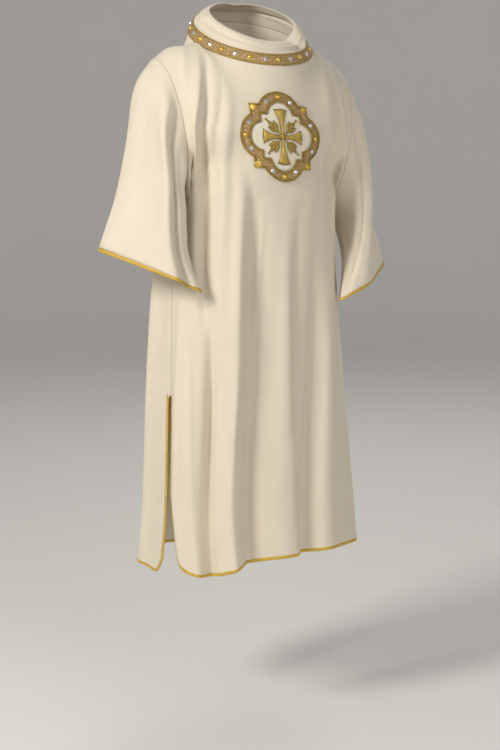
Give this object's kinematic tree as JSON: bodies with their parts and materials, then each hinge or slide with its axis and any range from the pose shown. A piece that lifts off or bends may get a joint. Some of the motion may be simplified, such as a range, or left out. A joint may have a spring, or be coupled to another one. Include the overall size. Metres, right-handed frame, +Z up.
{
  "type": "dalmatic",
  "caption": "Ivory dalmatic worn on a general figure: folded collar, jewelled brocade band, quatrefoil medallion, wide open sleeves and side slits edged in gold satin.",
  "frame": {"origin": "middle of the neck opening, level with the shoulder seams' inner ends, where the wearer's shoulders carry it", "axes": "+Z up, -Y the wearer's front, +X the wearer's left, -X the wearer's right"},
  "size_m": [0.7304, 0.4158, 1.2616],
  "materials": {
    "wool": "matt",
    "satin": "satin",
    "brocade": "woven with metal thread",
    "weave": "fine rib weave",
    "gold_thread": "embroidered",
    "gold_stud": "polished",
    "silver_stud": "polished"
  },
  "bodies": {
    "root": {"front_panel": "wool", "back_panel": "wool", "sleeve_right": "wool", "sleeve_left": "wool", "collar": "wool", "binding_front": "satin", "binding_back": "satin", "binding_cuff_right": "satin", "binding_cuff_left": "satin", "collar_band": "brocade", "neck_stud_01": "gold_stud", "neck_stud_02": "silver_stud", "neck_stud_03": "gold_stud", "neck_stud_04": "silver_stud", "neck_stud_05": "gold_stud", "neck_stud_06": "silver_stud", "neck_stud_07": "gold_stud", "neck_stud_08": "silver_stud", "neck_stud_09": "gold_stud", "neck_stud_10": "silver_stud", "neck_stud_11": "gold_stud", "neck_stud_12": "silver_stud", "neck_stud_13": "gold_stud", "neck_stud_14": "silver_stud", "neck_stud_15": "gold_stud", "neck_stud_16": "silver_stud", "neck_stud_17": "gold_stud", "neck_stud_18": "silver_stud", "neck_stud_19": "gold_stud", "neck_stud_20": "silver_stud", "neck_stud_21": "gold_stud", "neck_stud_22": "silver_stud", "neck_stud_23": "gold_stud", "neck_stud_24": "silver_stud", "neck_stud_25": "gold_stud", "neck_stud_26": "silver_stud", "medallion_frame": "brocade", "medallion_field": "weave", "medallion_emblem": "gold_thread", "medal_stud_01": "silver_stud", "medal_stud_02": "gold_stud", "medal_stud_03": "silver_stud", "medal_stud_04": "gold_stud", "medal_stud_05": "silver_stud", "medal_stud_06": "gold_stud", "medal_stud_07": "silver_stud", "medal_stud_08": "gold_stud", "medal_stud_09": "silver_stud", "medal_stud_10": "gold_stud", "medal_stud_11": "silver_stud", "medal_stud_12": "gold_stud", "medal_stud_13": "silver_stud", "medal_stud_14": "gold_stud", "medal_stud_15": "silver_stud", "medal_stud_16": "gold_stud"}
  },
  "joints": []
}
